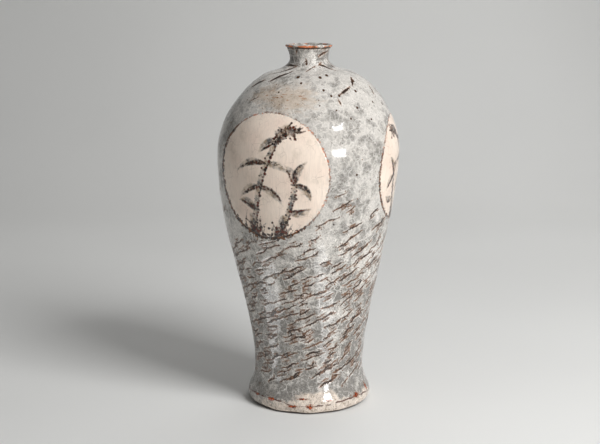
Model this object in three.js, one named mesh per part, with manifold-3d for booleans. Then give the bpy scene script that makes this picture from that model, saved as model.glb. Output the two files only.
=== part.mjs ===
// A pear-shaped bottle vase in glazed stoneware: small flared mouth, broad shoulder, narrow waist
// and a spreading foot. Millimetres, +Z up, origin at the centre of the foot's standing face.
// The front of the vase faces -Y.
//
// It is made as a potter makes it, from four thrown sections that are luted one on the other:
// foot ring, belly, shoulder and neck. Three round inlays of white clay are set in the shoulder,
// a large one towards the front and a smaller one on each side of it.
import * as THREE from "three";
import { mergeVertices } from "three/addons/utils/BufferGeometryUtils.js";
import Module from "manifold-3d";

// Gap that the slip fills where one section plugs into another, and round each inlay
const CLEARANCE = 0.3;

// Foot ring
const FOOT_HEIGHT = 20;
const FLARE_RADIUS = 55;
const FLARE_RISE = 7;
const REST_OUTER_RADIUS = 49.5;
const REST_INNER_RADIUS = 43;
const REST_EDGE_RISE = 1.2;
const REST_BEVEL = THREE.MathUtils.degToRad(20);
const WELL_RADIUS = 41;
const WELL_DEPTH = 8;

// Belly section, from the foot ring up to the middle joint
const BELLY_HEIGHT = 125;
const WAIST_RADIUS = 48.8;
const WAIST_RISE = 13.4;
const WALL = 6;
const FLOOR_THICKNESS = 9;
const FLOOR_FLAT_RADIUS = 26;
const FLOOR_COVE_INSET = 3;
const FLOOR_COVE_RISE = 17;

// Middle joint, a tongue on the belly inside a groove in the shoulder
const TONGUE_THICKNESS = 3.2;
const TONGUE_HEIGHT = 4;

// Shoulder section, from the middle joint up to the neck's seat
const SHOULDER_RADIUS = 80.1;
const SHOULDER_RISE = 81;
const DOME_RISE = 70.5;
const DOME_TOP_RADIUS = 32;
const DOME_TOP_SLOPE = THREE.MathUtils.degToRad(12);
const SEAT_RISE = 2;
const OPENING_RADIUS = 18;

// Neck collar and its thin everted lip
const NECK_RADIUS = 16.8;
const NECK_WAIST_RISE = 10.4;
const LIP_RADIUS = 20.4;
const LIP_THICKNESS = 2.4;
const LIP_RISE = 21.3;
const LIP_UNDERCUT = THREE.MathUtils.degToRad(60);
const BORE_RADIUS = 12.5;
const BORE_FLARE_DEPTH = 9;
const SPIGOT_LENGTH = 6;

// Round white clay inlays
const FRONT_INLAY_RADIUS = 53.4;
const SIDE_INLAY_RADIUS = 47;
const INLAY_THICKNESS = 1.6;
const INLAY_RISE = 69;
const FRONT_INLAY_ANGLE = THREE.MathUtils.degToRad(-26.5);
const SIDE_INLAY_TURN = THREE.MathUtils.degToRad(110);

// How far the outline runs straight up or along its slope on each side of a ring
const FLARE_PULL_DOWN = 3.4;
const FLARE_PULL_UP = 9.6;
const WAIST_PULL_DOWN = 17.3;
const WAIST_PULL_UP = 48;
const SHOULDER_PULL_DOWN = 63.7;
const SHOULDER_PULL_UP = 32.4;
const DOME_PULL = 21.8;
const ROOT_PULL = 6.9;
const NECK_PULL_DOWN = 5.6;
const NECK_PULL_UP = 3.6;
const LIP_PULL = 1.5;
const BEVEL_PULL = 4.2;

// Facets
const ROUND_SEGMENTS = 48;
const INLAY_SEGMENTS = 48;
const INLAY_BANDS = 20;
const CURVE_STEPS = 60;
const FOOT_STEPS = 7;
const BELLY_STEPS = 9;
const DOME_STEPS = 16;
const NECK_STEPS = 8;
const LIP_STEPS = 8;
const INSIDE_STEPS = 10;
const COVE_STEPS = 4;

// Heights above the table, stacked section by section
const waistHeight = FOOT_HEIGHT + WAIST_RISE;
const middleHeight = FOOT_HEIGHT + BELLY_HEIGHT;
const shoulderHeight = middleHeight + SHOULDER_RISE;
const domeTopHeight = shoulderHeight + DOME_RISE;
const seatHeight = domeTopHeight + SEAT_RISE;
const neckHeight = domeTopHeight + NECK_WAIST_RISE;
const lipHeight = domeTopHeight + LIP_RISE;
const inlayHeight = middleHeight + INLAY_RISE;
const floorHeight = WELL_DEPTH + FLOOR_THICKNESS;

const inlays = [
  { angle: FRONT_INLAY_ANGLE, radius: FRONT_INLAY_RADIUS },
  { angle: FRONT_INLAY_ANGLE + SIDE_INLAY_TURN, radius: SIDE_INLAY_RADIUS },
  { angle: FRONT_INLAY_ANGLE - SIDE_INLAY_TURN, radius: SIDE_INLAY_RADIUS },
];

const point = (radius, height) => new THREE.Vector2(radius, height);

// The lip is a bead whose section is a circle
const lipBead = LIP_THICKNESS / 2;
const lipPoint = (angle) =>
  point(
    LIP_RADIUS - lipBead + lipBead * Math.cos(angle),
    lipHeight + lipBead * Math.sin(angle),
  );

// The outline of the whole outside, from the standing face up to the lip's underside.
// It stands upright at each widest and narrowest ring.
function outlinePath() {
  const path = new THREE.Path();
  const slope = point(Math.cos(DOME_TOP_SLOPE), -Math.sin(DOME_TOP_SLOPE));
  const lipUnder = lipPoint(-LIP_UNDERCUT);
  path.moveTo(REST_OUTER_RADIUS, 0);
  path.bezierCurveTo(
    REST_OUTER_RADIUS + BEVEL_PULL * Math.cos(REST_BEVEL), BEVEL_PULL * Math.sin(REST_BEVEL),
    FLARE_RADIUS, FLARE_RISE - FLARE_PULL_DOWN,
    FLARE_RADIUS, FLARE_RISE,
  );
  path.bezierCurveTo(
    FLARE_RADIUS, FLARE_RISE + FLARE_PULL_UP,
    WAIST_RADIUS, waistHeight - WAIST_PULL_DOWN,
    WAIST_RADIUS, waistHeight,
  );
  path.bezierCurveTo(
    WAIST_RADIUS, waistHeight + WAIST_PULL_UP,
    SHOULDER_RADIUS, shoulderHeight - SHOULDER_PULL_DOWN,
    SHOULDER_RADIUS, shoulderHeight,
  );
  path.bezierCurveTo(
    SHOULDER_RADIUS, shoulderHeight + SHOULDER_PULL_UP,
    DOME_TOP_RADIUS + DOME_PULL * slope.x, domeTopHeight + DOME_PULL * slope.y,
    DOME_TOP_RADIUS, domeTopHeight,
  );
  path.bezierCurveTo(
    DOME_TOP_RADIUS - ROOT_PULL * slope.x, domeTopHeight - ROOT_PULL * slope.y,
    NECK_RADIUS, neckHeight - NECK_PULL_DOWN,
    NECK_RADIUS, neckHeight,
  );
  path.bezierCurveTo(
    NECK_RADIUS, neckHeight + NECK_PULL_UP,
    lipUnder.x - LIP_PULL, lipUnder.y - LIP_PULL,
    lipUnder.x, lipUnder.y,
  );
  return path;
}

// A line moved inwards by a depth, square to itself
function offsetLine(line, depth) {
  return line.map((here, i) => {
    const before = line[Math.max(i - 1, 0)];
    const after = line[Math.min(i + 1, line.length - 1)];
    const along = after.clone().sub(before).normalize();
    return point(here.x - along.y * depth, here.y + along.x * depth);
  });
}

// The place where a line first passes a value of x or y
function crossing(line, axis, value) {
  const i = line.findIndex((p, n) => n > 0 && (line[n - 1][axis] - value) * (p[axis] - value) <= 0);
  const share = (value - line[i - 1][axis]) / (line[i][axis] - line[i - 1][axis]);
  return { index: i, place: line[i - 1].clone().lerp(line[i], share) };
}

// Part of a line between two crossings, cut into equal steps along its length
function stretch(line, from, to, steps) {
  const kept = [from.place, ...line.slice(from.index, to.index), to.place];
  const lengths = [0];
  for (let i = 1; i < kept.length; i++)
    lengths.push(lengths[i - 1] + kept[i].distanceTo(kept[i - 1]));
  const whole = lengths[lengths.length - 1];
  return Array.from({ length: steps + 1 }, (_, n) => {
    const at = (whole * n) / steps;
    const i = Math.min(Math.max(lengths.findIndex((l) => l >= at), 1), kept.length - 1);
    return kept[i - 1].clone().lerp(kept[i], (at - lengths[i - 1]) / (lengths[i] - lengths[i - 1]));
  });
}

const outside = outlinePath().curves.flatMap((curve, i) =>
  curve.getPoints(CURVE_STEPS).slice(i ? 1 : 0),
);
const inside = offsetLine(outside, WALL);
const atHeight = (line, height) => crossing(line, "y", height);
const radiusAt = (line, height) => atHeight(line, height).place.x;
const between = (line, low, high, steps) =>
  stretch(line, atHeight(line, low), atHeight(line, high), steps);
const domeLine = between(outside, middleHeight, seatHeight, DOME_STEPS);

// A body of revolution about Z
function turned(profile) {
  return new THREE.LatheGeometry(profile, ROUND_SEGMENTS).rotateX(Math.PI / 2);
}

const closed = (profile) => [...profile, profile[0].clone()];

// Foot ring: a spreading ring with a flat standing face and a well for the belly's spigot
function footRingProfile() {
  const start = { index: 1, place: outside[0] };
  const outer = stretch(outside, start, atHeight(outside, FOOT_HEIGHT), FOOT_STEPS);
  return closed([
    point(REST_INNER_RADIUS, 0),
    ...outer,
    point(WELL_RADIUS, FOOT_HEIGHT),
    point(WELL_RADIUS, REST_EDGE_RISE),
  ]);
}

// Belly: a tall cup whose spigot fills the foot ring, with a tongue round its rim
function bellyProfile() {
  const spigotRadius = WELL_RADIUS - CLEARANCE;
  const coveTop = floorHeight + FLOOR_COVE_RISE;
  const cove = new THREE.QuadraticBezierCurve(
    point(radiusAt(inside, coveTop), coveTop),
    point(WELL_RADIUS - FLOOR_COVE_INSET, floorHeight),
    point(FLOOR_FLAT_RADIUS, floorHeight),
  );
  const tongueTop = middleHeight + TONGUE_HEIGHT;
  const tongueRadius = radiusAt(inside, middleHeight) + TONGUE_THICKNESS;
  return [
    point(0, WELL_DEPTH),
    point(spigotRadius, WELL_DEPTH),
    point(spigotRadius, FOOT_HEIGHT),
    ...between(outside, FOOT_HEIGHT, middleHeight, BELLY_STEPS),
    point(tongueRadius, middleHeight),
    point(tongueRadius, tongueTop),
    ...between(inside, coveTop, tongueTop, INSIDE_STEPS - COVE_STEPS).reverse(),
    ...cove.getPoints(COVE_STEPS).slice(1),
    point(0, floorHeight),
  ];
}

// Shoulder: the dome, grooved below for the tongue and open above for the neck
function shoulderProfile() {
  const grooveTop = middleHeight + TONGUE_HEIGHT + CLEARANCE;
  const grooveRadius = radiusAt(inside, middleHeight) + TONGUE_THICKNESS + CLEARANCE;
  const opening = crossing(inside, "x", OPENING_RADIUS);
  return closed([
    point(grooveRadius, middleHeight),
    ...domeLine,
    point(OPENING_RADIUS, seatHeight),
    ...stretch(inside, atHeight(inside, grooveTop), opening, INSIDE_STEPS).reverse(),
    point(grooveRadius, grooveTop),
  ]);
}

// Neck collar: a seat on the dome, a spigot in its opening and an everted lip
function neckProfile() {
  const spigotRadius = OPENING_RADIUS - CLEARANCE;
  const mouth = new THREE.QuadraticBezierCurve(
    lipPoint(Math.PI),
    point(BORE_RADIUS, lipHeight - BORE_FLARE_DEPTH / 2),
    point(BORE_RADIUS, lipHeight - BORE_FLARE_DEPTH),
  );
  const lipTurn = Math.PI + LIP_UNDERCUT;
  const lip = Array.from({ length: LIP_STEPS }, (_, n) =>
    lipPoint(-LIP_UNDERCUT + (lipTurn * (n + 1)) / LIP_STEPS),
  );
  const neckTop = { index: outside.length, place: outside[outside.length - 1] };
  return closed([
    point(BORE_RADIUS, seatHeight - SPIGOT_LENGTH),
    point(spigotRadius, seatHeight - SPIGOT_LENGTH),
    point(spigotRadius, seatHeight),
    ...stretch(outside, atHeight(outside, seatHeight), neckTop, NECK_STEPS),
    ...lip,
    ...mouth.getPoints(COVE_STEPS).slice(1),
  ]);
}

const wasm = await Module();
wasm.setup();

// A closed geometry as a solid for joining and cutting, and back again
function toSolid(geometry) {
  const bare = new THREE.BufferGeometry().setAttribute("position", geometry.getAttribute("position"));
  bare.setIndex(geometry.index);
  const merged = mergeVertices(bare);
  return new wasm.Manifold(
    new wasm.Mesh({
      numProp: 3,
      vertProperties: merged.attributes.position.array,
      triVerts: new Uint32Array(merged.index.array),
    }),
  );
}

function toGeometry(solid) {
  const mesh = solid.getMesh();
  return new THREE.BufferGeometry()
    .setAttribute("position", new THREE.BufferAttribute(new Float32Array(mesh.vertProperties), 3))
    .setIndex(new THREE.BufferAttribute(new Uint32Array(mesh.triVerts), 1));
}

// Angle about Z, from the front towards +X, turned into three.js's angle from +X
const turnFromFront = (angle) => angle - Math.PI / 2;

// A ball centred on the wall's face. Where it meets the wall is a circle drawn with a compass.
function compassBall(radius) {
  return new THREE.SphereGeometry(radius, INLAY_SEGMENTS, INLAY_BANDS)
    .rotateZ(-Math.PI / 2)
    .translate(radiusAt(outside, inlayHeight), 0, inlayHeight);
}

// Everything that lies deeper than a depth below the shoulder's face
function core(depth) {
  const line = offsetLine(domeLine, depth);
  return toSolid(turned([point(0, line[0].y), ...line, point(0, line[line.length - 1].y)]));
}

// Shoulder with a shallow round recess for each inlay
function shoulderGeometry() {
  const recessFloor = core(INLAY_THICKNESS + CLEARANCE);
  const recesses = inlays.map(({ angle, radius }) =>
    toSolid(compassBall(radius).rotateZ(turnFromFront(angle))).subtract(recessFloor),
  );
  const plain = toSolid(turned(shoulderProfile()));
  return toGeometry(recesses.reduce((solid, recess) => solid.subtract(recess), plain));
}

// One inlay, facing +X: a disc that follows the wall and lies flush with it
function inlayGeometry(radius) {
  const disc = core(0).intersect(toSolid(compassBall(radius - CLEARANCE)));
  return toGeometry(disc.subtract(core(INLAY_THICKNESS)));
}

const glazedClay = (color, roughness) =>
  new THREE.MeshStandardMaterial({ color, roughness, metalness: 0 });
const greyGlaze = glazedClay(0x9b9c99, 0.25);
const footGlaze = glazedClay(0xb3a898, 0.35);
const whiteClay = glazedClay(0xdfcdbf, 0.35);

function piece(name, geometry, material) {
  const mesh = new THREE.Mesh(geometry, material);
  mesh.name = name;
  return mesh;
}

const vase = new THREE.Group();
vase.add(
  piece("foot_ring", turned(footRingProfile()), footGlaze),
  piece("belly_section", turned(bellyProfile()), greyGlaze),
  piece("shoulder_section", shoulderGeometry(), greyGlaze),
  piece("neck_collar", turned(neckProfile()), greyGlaze),
);

inlays.forEach(({ angle, radius }, i) => {
  const inlay = piece(`roundel_inlay_${i + 1}`, inlayGeometry(radius), whiteClay);
  inlay.rotation.z = turnFromFront(angle);
  vase.add(inlay);
});

export default vase;
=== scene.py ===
"""A pear-shaped bottle vase in glazed stoneware, with three round white clay inlays.

The CAD frame gives the sections and where they meet. Every section is dressed with a finer
mesh of the same outline that has the slight unevenness of a thrown pot, the fissures in its
glaze and the recesses for the inlays. Lengths are in millimetres until a mesh is made.
Angles round the vase run from the front, which faces -Y, towards +X.
"""
import math
from collections import namedtuple

import bpy
import numpy as np
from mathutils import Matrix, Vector


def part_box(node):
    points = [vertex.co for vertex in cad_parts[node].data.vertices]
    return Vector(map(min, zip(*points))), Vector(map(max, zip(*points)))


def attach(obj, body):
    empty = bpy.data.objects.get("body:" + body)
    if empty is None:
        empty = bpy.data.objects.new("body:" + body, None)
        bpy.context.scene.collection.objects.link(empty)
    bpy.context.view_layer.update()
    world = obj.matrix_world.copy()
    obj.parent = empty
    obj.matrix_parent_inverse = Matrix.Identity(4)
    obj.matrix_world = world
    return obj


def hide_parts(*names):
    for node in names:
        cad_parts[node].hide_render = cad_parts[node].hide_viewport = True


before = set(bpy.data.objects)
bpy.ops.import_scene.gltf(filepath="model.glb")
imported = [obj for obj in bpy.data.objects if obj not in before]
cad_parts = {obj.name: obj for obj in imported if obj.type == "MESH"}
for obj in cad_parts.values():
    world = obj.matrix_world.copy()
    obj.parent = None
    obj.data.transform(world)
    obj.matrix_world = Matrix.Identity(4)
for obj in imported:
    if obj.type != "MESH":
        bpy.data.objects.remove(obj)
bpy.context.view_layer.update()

MM = 0.001
FULL_TURN = 2 * math.pi


# Sizes

Ring = namedtuple("Ring", "radius height pull_down pull_up")

# Rings where the wall stands upright, and how far it runs straight below and above each
FLARE = Ring(55.0, 7.0, 3.4, 9.6)
WAIST = Ring(48.8, 33.4, 17.3, 48.0)
SHOULDER = Ring(80.1, 226.0, 63.7, 32.4)
NECK = Ring(16.8, 306.9, 5.6, 3.6)

# Foot
REST_OUTER_RADIUS = 49.5
REST_INNER_RADIUS = 43.0
REST_BEVEL = math.radians(20)
BEVEL_PULL = 4.2
WELL_RADIUS = 41.0
WELL_DEPTH = 8.0
REST_EDGE_RISE = 1.2

# Top of the dome, where it slopes before it turns up into the neck
DOME_TOP_RADIUS = 32.0
DOME_TOP_HEIGHT = 296.5
DOME_TOP_SLOPE = math.radians(12)
DOME_PULL = 21.8
ROOT_PULL = 6.9

# Everted lip, whose edge is a bead with a round section, and the bore below it
LIP_RADIUS = 20.4
LIP_BEAD = 1.2
LIP_UNDERCUT = math.radians(60)
LIP_PULL = 1.5
BORE_RADIUS = 12.5
BORE_FLARE_DEPTH = 9.0
SPIGOT_LENGTH = 6.0

# Walls and joints
WALL = 6.0
CLEARANCE = 0.3
FLOOR_THICKNESS = 9.0
FLOOR_FLAT_RADIUS = 26.0
FLOOR_COVE_RISE = 17.0
FLOOR_COVE_RADIUS = 38.0
TONGUE_THICKNESS = 3.2
TONGUE_HEIGHT = 4.0
OPENING_RADIUS = 18.0

# Round inlays: a large one towards the front and a smaller one on each side of it.
# outline is how heavily the iron line round it is painted.
Inlay = namedtuple("Inlay", "angle radius outline")
FRONT_ANGLE = math.radians(-26.5)
SIDE_TURN = math.radians(110)
FRONT_RADIUS = 53.4
SIDE_RADIUS = 47.0
INLAYS = [
    Inlay(FRONT_ANGLE, FRONT_RADIUS, 1.0),
    Inlay(FRONT_ANGLE + SIDE_TURN, SIDE_RADIUS, 0.5),
    Inlay(FRONT_ANGLE - SIDE_TURN, SIDE_RADIUS, 0.8),
]
INLAY_THICKNESS = 1.6
INLAY_HEIGHT = 214.0


def top_of(node):
    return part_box(node)[1][2] / MM


def foot_of(node):
    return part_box(node)[0][2] / MM


FOOT_TOP = top_of("foot_ring")
MIDDLE = foot_of("shoulder_section")
SEAT = top_of("shoulder_section")
LIP_HEIGHT = top_of("neck_collar") - LIP_BEAD
FLOOR_HEIGHT = WELL_DEPTH + FLOOR_THICKNESS

# Mesh density: columns round the vase, and the spacing of rows along each stretch of the wall.
# The shoulder section runs from the shoulder rows to the end of the dome rows.
COLUMNS = 480
ROW_SPACING = {"foot": 0.7, "belly": 0.85, "shoulder": 1.15, "dome": 0.75, "neck": 0.5}
DOME_ROWS_START = 281.0
INSIDE_ROWS = 14
INLAY_CELLS = 180


# Outline

def bezier(corners, steps=80):
    share = np.linspace(0, 1, steps + 1)[:, None]
    levels = [np.repeat([corner], steps + 1, axis=0) for corner in np.array(corners, float)]
    while len(levels) > 1:
        levels = [a + (b - a) * share for a, b in zip(levels, levels[1:])]
    return levels[0]


def arc_round_bead(start, end, steps=40):
    turn = np.linspace(start, end, steps + 1)
    centre = LIP_RADIUS - LIP_BEAD
    return np.stack([centre + LIP_BEAD * np.cos(turn), LIP_HEIGHT + LIP_BEAD * np.sin(turn)], 1)


def chain(*lines):
    return np.concatenate([lines[0]] + [line[1:] for line in lines[1:]])


def between_rings(low, high):
    return bezier([
        (low.radius, low.height),
        (low.radius, low.height + low.pull_up),
        (high.radius, high.height - high.pull_down),
        (high.radius, high.height),
    ])


def wall_line():
    """The outside from the standing edge up to the lip's underside, as (radius, height)."""
    slope = np.array([math.cos(DOME_TOP_SLOPE), -math.sin(DOME_TOP_SLOPE)])
    dome_top = np.array([DOME_TOP_RADIUS, DOME_TOP_HEIGHT])
    lip_under = arc_round_bead(-LIP_UNDERCUT, 0)[0]
    rest_edge = np.array([REST_OUTER_RADIUS, 0])
    bevel = BEVEL_PULL * np.array([math.cos(REST_BEVEL), math.sin(REST_BEVEL)])
    foot = bezier([
        rest_edge, rest_edge + bevel, (FLARE.radius, FLARE.height - FLARE.pull_down),
        (FLARE.radius, FLARE.height),
    ])
    dome = bezier([
        (SHOULDER.radius, SHOULDER.height), (SHOULDER.radius, SHOULDER.height + SHOULDER.pull_up),
        dome_top + DOME_PULL * slope, dome_top,
    ])
    root = bezier([
        dome_top, dome_top - ROOT_PULL * slope, (NECK.radius, NECK.height - NECK.pull_down),
        (NECK.radius, NECK.height),
    ])
    throat = bezier([
        (NECK.radius, NECK.height), (NECK.radius, NECK.height + NECK.pull_up),
        lip_under - LIP_PULL, lip_under,
    ])
    return chain(
        foot, between_rings(FLARE, WAIST), between_rings(WAIST, SHOULDER), dome, root, throat
    )


def mouth_line():
    """Over the lip and down the bore."""
    inner_edge = arc_round_bead(0, math.pi)[-1]
    flare = bezier([
        inner_edge, (BORE_RADIUS, LIP_HEIGHT - BORE_FLARE_DEPTH / 2),
        (BORE_RADIUS, LIP_HEIGHT - BORE_FLARE_DEPTH),
    ])
    bore = np.array([
        (BORE_RADIUS, LIP_HEIGHT - BORE_FLARE_DEPTH), (BORE_RADIUS, SEAT - SPIGOT_LENGTH),
    ])
    return chain(arc_round_bead(-LIP_UNDERCUT, math.pi), flare, bore)


def lengths_along(line):
    return np.concatenate([[0], np.cumsum(np.hypot(*np.diff(line, axis=0).T))])


WALL_LINE = wall_line()
LINE = chain(WALL_LINE, mouth_line())
LINE_ARC = lengths_along(LINE)
WALL_ARC = LINE_ARC[:len(WALL_LINE)]
LIP_ARC = WALL_ARC[-1]


def arc_at(height):
    return np.interp(height, WALL_LINE[:, 1], WALL_ARC)


def radius_at(arc):
    return np.interp(arc, LINE_ARC, LINE[:, 0])


def height_at(arc):
    return np.interp(arc, LINE_ARC, LINE[:, 1])


def facing_at(arc):
    """Which way the wall faces, as its outward and upward parts."""
    step = 0.25
    outward = height_at(arc + step) - height_at(arc - step)
    upward = radius_at(arc - step) - radius_at(arc + step)
    size = np.hypot(outward, upward)
    return outward / size, upward / size


def smooth(value, low, high):
    """0 below low, 1 above high, eased in between. Low may be the greater."""
    share = np.clip((value - low) / (high - low), 0, 1)
    return share * share * (3 - 2 * share)


# Rows and columns of the skin, the one fine grid that all four sections share

def skin_rows():
    levels = [FOOT_TOP, MIDDLE, DOME_ROWS_START, SEAT]
    cuts = [0, *(float(arc_at(level)) for level in levels), LINE_ARC[-1]]
    arcs, firsts = np.array([0.0]), {}
    for name, start, end in zip(ROW_SPACING, cuts, cuts[1:]):
        firsts[name] = len(arcs) - 1
        steps = round((end - start) / ROW_SPACING[name])
        arcs = np.concatenate([arcs, np.linspace(start, end, steps + 1)[1:]])
    firsts["end"] = len(arcs) - 1
    return arcs, firsts


ROW_ARC, FIRST_ROW = skin_rows()
ROW_RADIUS = radius_at(ROW_ARC)
COLUMN_ANGLE = (np.arange(COLUMNS) / COLUMNS - 0.5) * FULL_TURN
ANGLE, ARC = np.meshgrid(COLUMN_ANGLE, ROW_ARC)
GRID = ANGLE.shape


def wrap(angle):
    return (angle + math.pi) % FULL_TURN - math.pi


# A sum of seeded waves: how many, the least and the most turns round the vase that one makes,
# the least and the most length that it has up the wall, and the height of the sum
Waves = namedtuple("Waves", "seed count turns lengths height")


def waves(angle, arc, kind):
    """Waves of a kind at a place. They close on themselves round the vase."""
    random = np.random.default_rng(kind.seed)
    total = 0
    for _ in range(kind.count):
        around = random.integers(kind.turns[0], kind.turns[1] + 1) * random.choice([-1, 1])
        along = FULL_TURN / random.uniform(*kind.lengths)
        total = total + np.cos(around * angle + along * arc + random.uniform(0, FULL_TURN))
    return total * kind.height / math.sqrt(kind.count)


# The vase sways a little to one side and back as it rises: height, height that it fades over, shift
SWAY = [(165.0, 60.0, -1.8), (282.0, 18.0, 1.3)]

# A flat place on the flare of the foot: its middle, half its spread each way, and how far its
# top edge stands out and its low edge lies in
FLAT_ANGLE = math.radians(15)
FLAT_HEIGHT = 16.8
FLAT_TURN = 0.28
FLAT_RISE = 4.6
FLAT_DEPTH = 0.6

# The unevenness of throwing, which is less near the lip, by this share
LEAN = Waves(11, 5, (2, 4), (120, 400), 0.2)
DENTS = Waves(12, 14, (5, 15), (18, 60), 0.11)
SHARE_AT_LIP = 0.25

# The trimmed edge of the foot: lengths along the outline where it starts, is strongest and ends
TRIMMING = Waves(13, 7, (3, 12), (40, 90), 0.3)
TRIM_START = 1.0
TRIM_MIDDLE = 5.0
TRIM_END = 14.0

# The roll in which the glaze ends above the bare edge: its place, height and half width
GLAZE_ROLL_WANDER = Waves(14, 4, (2, 7), (200, 300), 0.8)
GLAZE_ROLL_ARC = 5.0
GLAZE_ROLL_HEIGHT = 0.35
GLAZE_ROLL_HALF = 1.5


def flat_place(angle, height):
    """How far the flat place stands out from the flare at a place."""
    across = np.exp(-(wrap(angle - FLAT_ANGLE) / FLAT_TURN) ** 2)
    up = (height - FLAT_HEIGHT) / FLAT_RISE
    return FLAT_DEPTH * across * (np.exp(-(up - 1) ** 2) - np.exp(-(up + 1) ** 2))


def unevenness(angle, arc):
    """How far the hand-thrown wall stands out from the true outline."""
    height = height_at(arc)
    sway = sum(shift * np.exp(-((height - at) / fade) ** 2) for at, fade, shift in SWAY)
    lean = sway * np.sin(angle) + waves(angle, arc, LEAN)
    dents = waves(angle, arc, DENTS)
    trimmed = smooth(arc, TRIM_START, TRIM_MIDDLE) * smooth(arc, TRIM_END, TRIM_MIDDLE)
    trimmed_edge = waves(angle, arc, TRIMMING) * trimmed
    roll_arc = arc - GLAZE_ROLL_ARC - waves(angle, arc, GLAZE_ROLL_WANDER)
    glaze_roll = GLAZE_ROLL_HEIGHT * np.exp(-(roll_arc / GLAZE_ROLL_HALF) ** 2)
    below_lip = smooth(arc, LIP_ARC + 12, LIP_ARC - 4)
    swell = (lean + dents) * (SHARE_AT_LIP + (1 - SHARE_AT_LIP) * below_lip) * smooth(arc, 0, 4)
    return swell + trimmed_edge + glaze_roll + flat_place(angle, height)


def chord_to_inlay(angle, arc, inlay_angle):
    """Straight distance from a place on the true outline to an inlay's centre."""
    centre_radius = radius_at(arc_at(INLAY_HEIGHT))
    radius, height = radius_at(arc), height_at(arc)
    flat = radius ** 2 + centre_radius ** 2
    flat = flat - 2 * radius * centre_radius * np.cos(angle - inlay_angle)
    return np.sqrt(np.maximum(flat + (height - INLAY_HEIGHT) ** 2, 0))


# Lines drawn on the skin: fissures in the glaze and dashes beside them

# The distance given where there is no line, and how far a line or a brush stroke is felt
FAR = 30.0
REACH = 5.0

line_side = np.full(GRID, FAR)
line_near = np.full(GRID, FAR)
line_half = np.zeros(GRID)


def to_segment(x, y, end_x, end_y):
    """Share along, distance and signed distance of places from a segment that starts at 0, 0."""
    length = math.hypot(end_x, end_y) + 1e-6
    share = np.clip((x * end_x + y * end_y) / length ** 2, 0, 1)
    near = np.hypot(x - share * end_x, y - share * end_y)
    side = (x * end_y - y * end_x) / length
    return share, near, side


def draw_on_skin(angles, arcs, halves):
    """Draws a line through places on the skin, with a half width at each."""
    column_step = FULL_TURN / COLUMNS
    for i in range(len(angles) - 1):
        low, high = np.searchsorted(ROW_ARC, [arcs[i:i + 2].min() - REACH, arcs[i:i + 2].max() + REACH])
        if low >= high:
            continue
        radius = ROW_RADIUS[low:high, None]
        turn = wrap(angles[i + 1] - angles[i])
        span = int((REACH / radius.min() + abs(turn)) / column_step) + 2
        middle = int(round((angles[i] + math.pi) / column_step))
        columns = np.arange(middle - span, middle + span + 1) % COLUMNS
        window = np.ix_(np.arange(low, high), columns)
        x = wrap(COLUMN_ANGLE[columns] - angles[i])[None, :] * radius
        y = ROW_ARC[low:high, None] - arcs[i]
        share, near, side = to_segment(x, y, turn * float(radius.mean()), arcs[i + 1] - arcs[i])
        half = halves[i] + (halves[i + 1] - halves[i]) * share
        closer = near - half < line_near[window] - line_half[window]
        for field, value in ((line_near, near), (line_side, side), (line_half, half)):
            field[window] = np.where(closer, value, field[window])


def walk(random, angle, height, length, slope, half):
    """A stepped line that climbs to the right, from the place where it starts."""
    step = 1.2
    count = max(3, int(length / step))
    phase = random.uniform(0, FULL_TURN)
    beat = random.uniform(6, 15)
    swing = random.uniform(7, 19)
    travelled = np.arange(count) * step
    heading = slope + swing * np.sin(FULL_TURN * travelled / beat + phase)
    heading = np.radians(heading + random.normal(0, 6, count))
    x = np.concatenate([[0], np.cumsum(np.cos(heading) * step)])
    y = np.concatenate([[0], np.cumsum(np.sin(heading) * step)])
    arcs = arc_at(height) + y
    angles = angle + x / radius_at(arcs)
    taper = np.sin(np.linspace(0.12, math.pi - 0.05, count + 1)) ** 0.32
    halves = half * taper * random.uniform(0.65, 1.3, count + 1)
    return angles, arcs, np.maximum(halves, 0.12)


# Rows of fissures: height from row to row, room for each, where they start and end, and their
# slope in degrees with its change from side to side
ROW_RISE = 5.4
SLOT_WIDTH = 18.0
FISSURE_LOW = 25.0
FISSURE_HIGH = 214.0
SLOPE = 23.5
SLOPE_SWING = 5.0

# How far they stay from the inlays, and the shares of them with a branch and with a dash beside
INLAY_MARGIN = 2.5
BRANCH_SHARE = 0.2
DASH_SHARE = 0.7


def fissure_share(height):
    """How many of the places for a fissure are taken at a height."""
    return np.interp(height, [24, 30, 138, 156, 172, 214], [0.5, 0.95, 0.88, 0.5, 0.4, 0.2])


def width_share(height):
    """A factor on the width of the fissures, which are a little wider low on the belly."""
    return float(np.interp(height, [40, 110, 160], [1.1, 1.05, 0.92]))


def clear_of_inlays(angle, arc):
    return all(
        chord_to_inlay(angle, arc, inlay.angle) > inlay.radius + INLAY_MARGIN for inlay in INLAYS
    )


def draw_fissures():
    random = np.random.default_rng(2024)
    height = FISSURE_LOW
    while height < FISSURE_HIGH:
        slots = round(FULL_TURN * radius_at(arc_at(height)) / SLOT_WIDTH)
        shift = random.uniform(0, 1)
        for slot in range(slots):
            angle = (slot + shift + random.uniform(-0.22, 0.22)) / slots * FULL_TURN
            place = height + random.uniform(-2.2, 2.2)
            length = 5 + 17 * random.uniform() ** 1.4
            half = random.uniform(0.38, 0.74) * width_share(place)
            slope = SLOPE + SLOPE_SWING * math.sin(angle) + random.normal(0, 4.5)
            taken = random.uniform() < fissure_share(place)
            branch, dash = random.uniform(size=2)
            if taken:
                draw_fissure(random, wrap(angle), place, length, slope, half, branch, dash)
        height += ROW_RISE


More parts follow.
